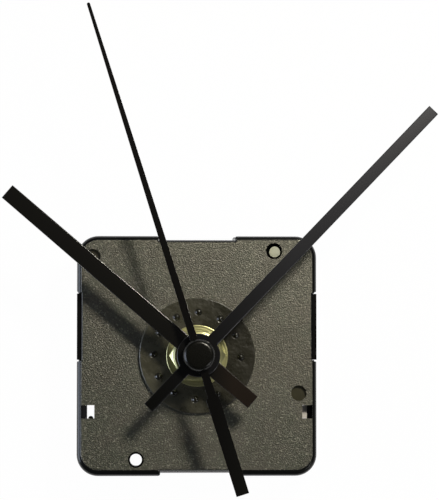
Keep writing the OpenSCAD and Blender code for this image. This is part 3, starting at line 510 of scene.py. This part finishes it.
# %% Winding and board
def enamelled_winding():
    """Copper seen through reddish enamel, in bands that stand for close turns."""
    material, tree, place = new_material("enamelled_copper_turns")
    turns = add(tree, "TexWave", {"Vector": place, "Scale": 2.2, "Distortion": 1.2, "Detail": 1.0},
                wave_type="BANDS", bands_direction="X").outputs["Fac"]
    tint = blend(tree, turns, colour("#5a2410"), colour("#b4602a"))
    surface(tree, {"Base Color": tint, "Metallic": 0.85, "Roughness": 0.3,
                   "Normal": bump(tree, turns, 0.05)})
    return material


def phenolic_board():
    """Brown resin paper whose fibres show as fine mottling."""
    material, tree, place = new_material("phenolic_board")
    fibre = noise(tree, place, 2.5, 4.0, 0.7)
    tint = blend(tree, spread(tree, fibre, 0.0, 1.0), colour("#5f3d18"), colour("#7b5323"))
    surface(tree, {"Base Color": tint, "Roughness": 0.4, "Normal": bump(tree, fibre, 0.01)})
    return material


copper_turns = enamelled_winding()
board_paper = phenolic_board()
tell(copper_turns, board_paper)

# %% [markdown]
# ## Finishes for the frame's own pieces
# These pieces keep the frame's shape. Each one only gets its material.

# %% Assign materials
finishes = {
    plastic_case: ["front_housing"],
    plastic_cover: ["rear_cover"],
    plastic_knob: ["setting_knob"],
    acetal: ["train_bridge", "rotor_pinion", "step_wheel", "second_wheel", "third_wheel",
             "centre_wheel", "motion_wheel", "hour_wheel"],
    acetal_bobbin: ["coil_bobbin"],
    copper_turns: ["coil_winding"],
    board_paper: ["circuit_board"],
    resin: ["chip_cap"],
    steel_sheet: ["stator", "coil_core"],
    steel_wire: ["second_shaft", "clutch_spring", "quartz_crystal"],
    ferrite: ["rotor_magnet"],
    nickel: ["contact_positive"],
    shaded_spring_steel: ["contact_negative"],
    bush_brass: ["minute_pipe"],
}
for material, names in finishes.items():
    for name in names:
        nodes[name].data.materials.clear()
        nodes[name].data.materials.append(material)
print("finished", sum(len(names) for names in finishes.values()), "pieces of the frame")

# %% [markdown]
# ## Rubber washer
# The washer cushions the dial and keeps the movement from turning behind it. Its twelve
# bumps bite into the back of the dial. The ring is one turned shape with a rounded outer
# edge, and each bump is a small dome with a short sloped foot.

# %% Rubber washer
washer_bore_r = 4.15
bump_count, first_bump_angle, bump_circle_r = 12, 88, 10.2
bump_ball_r, bump_foot_r = 0.92, 1.0


def join(bm, other):
    """Moves the shape of one bmesh into another."""
    patch = bpy.data.meshes.new("patch")
    other.to_mesh(patch)
    other.free()
    bm.from_mesh(patch)
    bpy.data.meshes.remove(patch)


def rubber_bump(height):
    """A dome with a short sloped foot, which ends just under height zero."""
    foot_w, foot_top, sunk = 0.08, 0.03, 0.02
    dome = bmesh.new()
    crown = [(x, y + height - bump_ball_r) for x, y in arc(0, 0, bump_ball_r, 90, 24, 10)]
    foot = [(bump_foot_r - foot_w, foot_top), (bump_foot_r, -sunk)]
    spin(dome, crown + foot, closed=False, steps=28)
    return dome


def rubber_washer():
    """The ring with its twelve bumps, evenly spaced from close to twelve o'clock."""
    low, high = box_mm("rubber_washer")
    top = box_mm("flat_washer")[0].z
    outer_r, edge = high.x, 0.3
    bm = bmesh.new()
    spin(bm, [(washer_bore_r, low.z), (outer_r, low.z)]
         + arc(outer_r - edge, top - edge, edge, 0, 90, 6) + [(washer_bore_r, top)], steps=160)
    for index in range(bump_count):
        dome = rubber_bump(high.z - top)
        turn = math.radians(first_bump_angle - index * 360 / bump_count)
        spot = Vector((bump_circle_r * math.cos(turn), bump_circle_r * math.sin(turn), top))
        bmesh.ops.translate(dome, vec=spot, verts=dome.verts)
        join(bm, dome)
    return stand_in(bm, "rubber_washer_with_bumps", rubber, "rubber_washer")


rubber_washer()

# %% [markdown]
# ## Brass washer
# It is stamped from sheet, so its upper edge is slightly rolled over.

# %% Brass washer
def brass_washer():
    """A flat ring, its upper outer edge rolled over and its lower one barely broken."""
    low, high = box_mm("flat_washer")
    roll, burr = 0.15, 0.05
    bm = bmesh.new()
    spin(bm, [(washer_bore_r, low.z), (high.x - burr, low.z), (high.x, low.z + burr)]
         + arc(high.x - roll, high.z - roll, roll, 0, 90, 5) + [(washer_bore_r, high.z)], steps=128)
    return stand_in(bm, "brass_flat_washer", brass, "flat_washer")


brass_washer()

# %% [markdown]
# ## Hex nut
# The nut is cut from hexagonal bar and its ends are turned, which leaves curved chamfer
# lines at the corners. The frame has that shape with knife-sharp edges. This copy of it
# is cleaned into large faces and then every edge is softened a little, so that it glints.

# %% Hex nut
def softened_copy(node, name, material, width, degrees=20):
    """A copy of a node of the frame whose sharp edges are rounded."""
    bm = bmesh.new()
    bm.from_mesh(nodes[node].data)
    bmesh.ops.scale(bm, vec=(1 / MM,) * 3, verts=bm.verts)
    bmesh.ops.remove_doubles(bm, verts=bm.verts, dist=0.002)
    bmesh.ops.dissolve_limit(bm, angle_limit=math.radians(0.5), verts=bm.verts, edges=bm.edges)
    soften(bm, sharp_edges(bm, degrees), width)
    return stand_in(bm, name, material, node)


softened_copy("hex_nut", "brass_hex_nut", brass, 0.1, 15)

# %% [markdown]
# ## Threaded bush
# The bush is turned brass with a fine metric thread. The thread is one ridge with sloped
# sides, swept round the core while it climbs one pitch each turn, and trimmed near the
# bush's top and a little below the nut's.

# %% Threaded bush
crest_r, thread_depth, thread_pitch = 4.0, 0.42, 0.75
bush_bore_r, flange_t, bore_chamfer = 2.55, 0.8, 0.12


def threaded_bush():
    """Flange, plain body up to the nut, and a thread from inside the nut to the top."""
    low, high = box_mm("threaded_bush")
    nut_low, nut_high = box_mm("hex_nut")
    root_r = crest_r - thread_depth
    top_chamfer, top_trim, nut_trim = 0.15, 0.2, 0.3
    bm = bmesh.new()
    spin(bm, [(bush_bore_r, low.z), (high.x, low.z), (high.x, low.z + flange_t),
              (crest_r, low.z + flange_t), (crest_r, nut_low.z), (root_r, nut_low.z),
              (root_r, high.z - top_chamfer), (root_r - top_chamfer, high.z),
              (bush_bore_r + bore_chamfer, high.z), (bush_bore_r, high.z - bore_chamfer)], steps=96)
    turns = (high.z - nut_high.z + thread_pitch) / thread_pitch
    ridge = bmesh.new()
    foot_r = root_r - 0.05
    flank, flat = 0.3, 0.1
    profile = [(foot_r, 0.0), (crest_r, flank), (crest_r, flank + flat), (foot_r, 2 * flank + flat)]
    spin(ridge, profile, steps=int(96 * turns), turn=360 * turns, rise=thread_pitch * turns)
    bmesh.ops.translate(ridge, vec=(0, 0, nut_high.z - thread_pitch), verts=ridge.verts)
    for z, up in ((high.z - top_trim, 1), (nut_high.z - nut_trim, -1)):
        bmesh.ops.bisect_plane(ridge, geom=ridge.verts[:] + ridge.edges[:] + ridge.faces[:],
                               plane_co=(0, 0, z), plane_no=(0, 0, up),
                               clear_outer=True, dist=0.0005)
    bmesh.ops.holes_fill(ridge, edges=[e for e in ridge.edges if e.is_boundary])
    join(bm, ridge)
    return stand_in(bm, "brass_threaded_bush", bush_brass, "threaded_bush")


threaded_bush()

# %% [markdown]
# ## Hands
# The hour and minute hands are stamped from aluminium sheet, with a round eye that is
# riveted to a short collet. Stamping rolls the upper edges over, and paint rounds them
# further, so each edge shows as a thin bright line. The second hand is narrower and has
# a broad tail that balances it. Each outline is drawn pointing at twelve and then turned
# to its hour. These are the tools for that.

# %% Hand tools
def mirrored(right_side):
    """Closes an outline that runs from the tip down the right side to the tail's end."""
    return right_side + [(-x, y) for x, y in reversed(right_side)]


def bar_hand(length, tail, hub_w, tip_w, tail_w, eye_r):
    """Outline of a straight hand with a round eye, narrowing a little to both ends."""
    upper_x = (hub_w + (tip_w - hub_w) * eye_r / length) / 2
    lower_x = (hub_w + (tail_w - hub_w) * eye_r / tail) / 2
    upper = math.degrees(math.acos(upper_x / eye_r))
    lower = -math.degrees(math.acos(lower_x / eye_r))
    eye = arc(0, 0, eye_r, upper, lower, 20)
    return mirrored([(tip_w / 2, length)] + eye + [(tail_w / 2, -tail)])


def stamp(bm, outline, hole_r, z, thickness, roll):
    """Cuts an outline with a round hole from sheet and rolls its edges over."""
    edges = []
    for ring in (outline, arc(0, 0, hole_r, 0, 350, 35)):
        corners = [bm.verts.new((x, y, z)) for x, y in ring]
        edges += [bm.edges.new(pair) for pair in zip(corners, corners[1:] + corners[:1])]
    filled = bmesh.ops.triangle_fill(bm, edges=edges, use_beauty=True)
    faces = [f for f in filled["geom"] if isinstance(f, bmesh.types.BMFace)]
    lifted = bmesh.ops.extrude_face_region(bm, geom=faces, use_keep_orig=True)
    bmesh.ops.translate(bm, vec=(0, 0, thickness),
                        verts=[v for v in lifted["geom"] if isinstance(v, bmesh.types.BMVert)])
    bmesh.ops.recalc_face_normals(bm, faces=bm.faces)
    rims = [e for e in sharp_edges(bm, 60) if abs(e.verts[0].co.z - e.verts[1].co.z) < 0.001]
    soften(bm, rims, roll, 3)


def collet(bm, shaft_r, z):
    """Short tube under the eye that grips the shaft."""
    wall, depth, into_sheet = 0.6, 0.8, 0.1
    bottom, top = z - depth, z + into_sheet
    outer = shaft_r + wall
    spin(bm, [(shaft_r, bottom), (outer, bottom), (outer, top), (shaft_r, top)], steps=64)


def turn_to(bm, degrees):
    """Turns everything clockwise from twelve."""
    bmesh.ops.rotate(bm, cent=(0, 0, 0), matrix=Matrix.Rotation(math.radians(-degrees), 3, "Z"),
                     verts=bm.verts)


# %% [markdown]
# ## The three hands
# Lengths are from the shaft, and angles are clockwise from twelve. Both were measured in
# the photograph, where the hands stand as they were pushed on. Each hand keeps its height
# from the frame.

# %% Hands
edge_roll, fine_edge_roll = 0.2, 0.16
sheet_t, fine_sheet_t = 0.4, 0.3
tail_len = 16.6
hour_tube_r, minute_pipe_r, cap_tube_r = 2.5, 1.6, 1.0
hour_len, minute_len, second_len, second_tail_len = 58, 78.6, 84.79, 33.36
hour_angle, minute_angle, second_angle = -49.4, 43.8, -17.5


def make_hour_hand():
    """The broadest hand, lowest of the three."""
    z = box_mm("hour_hand")[1].z - sheet_t
    bm = bmesh.new()
    outline = bar_hand(hour_len, tail_len, hub_w=4.1, tip_w=3.8, tail_w=3.5, eye_r=4.8)
    stamp(bm, outline, hour_tube_r, z, sheet_t, edge_roll)
    collet(bm, hour_tube_r, z)
    turn_to(bm, hour_angle)
    return stand_in(bm, "hour_hand_sheet", paint_hour, "hour_hand")


def make_minute_hand():
    """The longer bar, above the hour hand."""
    z = box_mm("minute_hand")[1].z - sheet_t
    bm = bmesh.new()
    outline = bar_hand(minute_len, tail_len, hub_w=2.9, tip_w=2.8, tail_w=2.6, eye_r=5.0)
    stamp(bm, outline, minute_pipe_r, z, sheet_t, edge_roll)
    collet(bm, minute_pipe_r, z)
    turn_to(bm, minute_angle)
    return stand_in(bm, "minute_hand_sheet", paint_minute, "minute_hand")


def make_second_hand():
    """A fine needle of thinner sheet, with a broad tail behind a narrow neck."""
    z = box_mm("second_hand")[1].z - fine_sheet_t
    bm = bmesh.new()
    tip_r, hub_r, neck_end, flare_end = 0.38, 3.0, 9.7, 10.4
    half_hub, half_neck, half_tail = 0.9, 1.0, 1.5
    hub_turn = math.degrees(math.acos(half_hub / hub_r))
    tip = arc(0, second_len - tip_r, tip_r, 90, 0, 6)
    hub = arc(0, 0, hub_r, hub_turn, -hub_turn, 18)
    tail = [(half_neck, -neck_end), (half_tail, -flare_end), (half_tail, -second_tail_len)]
    taper = [(half_hub * 2 / 3, second_len * 2 / 3)]
    outline = mirrored(tip + taper + hub + tail)[1:]
    stamp(bm, outline, cap_tube_r, z, fine_sheet_t, fine_edge_roll)
    turn_to(bm, second_angle)
    return stand_in(bm, "second_hand_sheet", paint_second, "second_hand")


make_hour_hand()
make_minute_hand()
make_second_hand()

# %% [markdown]
# ## Hand cap
# A moulded cap hides the end of the second shaft. Its flat top meets the side in a
# rounded shoulder, and that shoulder is what mirrors the lamps as two bright crescents.

# %% Hand cap
def hand_cap():
    """A round cap with a tube below it that goes through the second hand."""
    low, high = box_mm("hand_cap")
    blade_top = box_mm("second_hand")[1].z
    cap_r = high.x
    shoulder, rim = 1.2, 0.15
    bore_r, bore_end = 0.56, blade_top + 0.5
    bm = bmesh.new()
    spin(bm, [(bore_r, low.z), (cap_tube_r, low.z), (cap_tube_r, blade_top),
              (cap_r - rim, blade_top), (cap_r, blade_top + rim)]
         + arc(cap_r - shoulder, high.z - shoulder, shoulder, 0, 90, 12)
         + [(0, high.z), (0, bore_end), (bore_r, bore_end)], steps=96)
    return stand_in(bm, "second_hand_cap", plastic_cap, "hand_cap")


hand_cap()

# %% [markdown]
# ## Table
# The movement lies on a plain white table. It shows white to the camera and in mirror
# images, and keeps a trace of shadow. Seen from below it is clear, so that the rear cover
# can be looked at too.

# %% Table
table_z = -0.05
table_half_m = 2.0
shown_share = 0.985


def background_share(tree):
    """1 for rays that show the background: from the camera, in a reflection or through glass."""
    path = add(tree, "LightPath").outputs
    camera_or_mirror = arithmetic(tree, "MAXIMUM", path["Is Camera Ray"], path["Is Glossy Ray"])
    return arithmetic(tree, "MAXIMUM", camera_or_mirror, path["Is Transmission Ray"])


def white_table():
    """A large one-sided white plane just under the rear cover."""
    material = bpy.data.materials.new("white_table")
    material.use_nodes = True
    tree = material.node_tree
    tree.nodes.clear()
    lit = add(tree, "BsdfDiffuse", {"Color": (0.8, 0.8, 0.8, 1)})
    glow = add(tree, "Emission", {"Color": (1, 1, 1, 1), "Strength": 1.0})
    seen = multiply(tree, background_share(tree), shown_share)
    both = add(tree, "MixShader", {0: seen, 1: lit.outputs[0], 2: glow.outputs[0]})
    below = add(tree, "NewGeometry").outputs["Backfacing"]
    one_sided = add(tree, "MixShader", {0: below, 1: both.outputs[0],
                                        2: add(tree, "BsdfTransparent").outputs[0]})
    add(tree, "OutputMaterial", {"Surface": one_sided.outputs[0]})
    bm = bmesh.new()
    bmesh.ops.create_grid(bm, x_segments=1, y_segments=1, size=table_half_m)
    bmesh.ops.translate(bm, vec=(0, 0, table_z * MM), verts=bm.verts)
    mesh = bpy.data.meshes.new("table")
    bm.to_mesh(mesh)
    bm.free()
    mesh.materials.append(material)
    table = bpy.data.objects.new("table", mesh)
    bpy.context.scene.collection.objects.link(table)
    print("table", 2 * table_half_m, "m wide at height", table_z, "mm")


white_table()

# %% [markdown]
# ## Lamps
# A small bright lamp stands up and to the right, so the hands throw soft-edged shadows to
# the lower left. A large cool one comes in low from the left and edges the cap and the
# nut, and a small weak one at the lower right edges the hands.

# %% Lamps
def lamp(name, spot_mm, aim_mm, width_mm, height_mm, watts, tint):
    """A soft rectangular lamp that faces a point."""
    light = bpy.data.lights.new(name, "AREA")
    light.shape = "RECTANGLE"
    light.size = width_mm * MM
    light.size_y = height_mm * MM
    light.energy = watts
    light.color = colour(tint)[:3]
    made = bpy.data.objects.new(name, light)
    bpy.context.scene.collection.objects.link(made)
    spot = Vector(spot_mm) * MM
    made.location = spot
    made.rotation_euler = (Vector(aim_mm) * MM - spot).to_track_quat("-Z", "Y").to_euler()
    print(name, "stands", round(spot.length / MM), "mm from the shaft,", watts, "W")


hub_mm = (0, 0, 20)
lamp("lamp_upper_right", (88, 131, 232), hub_mm, 50, 38, 0.615, "#fff8e6")
lamp("lamp_left", (-400, -40, 150), hub_mm, 250, 260, 1.3, "#dfe9ff")
lamp("lamp_lower_right", (185, -150, 220), hub_mm, 60, 60, 0.12, "#ffffff")

# %% [markdown]
# ## Room
# White paper stands round the table and the ceiling above it is dark. Upright and steep
# faces mirror the paper, and faces that look up mirror the ceiling, so black stays black.
# The camera itself sees plain white everywhere.

# %% Room
fill_strength, ceiling_strength = 0.06, 0.04
paper_top = 0.12  # sine of the angle above the horizon at which the paper has ended


def room_light():
    """Weak even fill, with white paper low down and a dark ceiling in mirror images."""
    world = bpy.data.worlds.new("room")
    world.use_nodes = True
    tree = world.node_tree
    tree.nodes.clear()
    upward = coordinate(tree, add(tree, "TexCoord").outputs["Generated"], 2)
    paper = add(tree, "MapRange", {"Value": upward, "From Min": paper_top, "From Max": 0.0,
                                   "To Min": ceiling_strength, "To Max": 1.0}).outputs[0]
    fill = add(tree, "Background", {"Color": (1, 1, 1, 1), "Strength": fill_strength})
    to_camera = add(tree, "LightPath").outputs["Is Camera Ray"]
    shown = add(tree, "Background", {"Color": (1, 1, 1, 1),
                                     "Strength": arithmetic(tree, "MAXIMUM", paper, to_camera)})
    both = add(tree, "MixShader", {0: background_share(tree),
                                   1: fill.outputs[0], 2: shown.outputs[0]})
    add(tree, "OutputWorld", {"Surface": both.outputs[0]})
    bpy.context.scene.world = world


room_light()
bpy.context.scene.view_settings.view_transform = "Standard"
print("fill", fill_strength, "of paper white, ceiling", ceiling_strength)

# %% [markdown]
# ## Camera
# The photograph was taken from about 600 mm above the shaft, looking almost straight
# down, with a long lens. Twelve o'clock is up in the picture.

# %% Camera
eye = Vector((-21, -5, 616)) * MM
aim = Vector((5.26, 24.72, 16)) * MM
lens_px, picture_h_px = 2571, 500

camera_data = bpy.data.cameras.new("camera")
camera_data.sensor_fit = "VERTICAL"
camera_data.sensor_height = 24
camera_data.lens = camera_data.sensor_height * lens_px / picture_h_px
camera_data.clip_start = 0.01
camera = bpy.data.objects.new("camera", camera_data)
bpy.context.scene.collection.objects.link(camera)
ahead = (aim - eye).normalized()
right = ahead.cross(Vector((0, 1, 0))).normalized()
up = right.cross(ahead)
camera.matrix_world = Matrix.Translation(eye) @ Matrix((right, up, -ahead)).transposed().to_4x4()
bpy.context.scene.camera = camera
print("camera", round((aim - eye).length / MM), "mm from its aim, lens",
      round(camera_data.lens, 1), "mm")
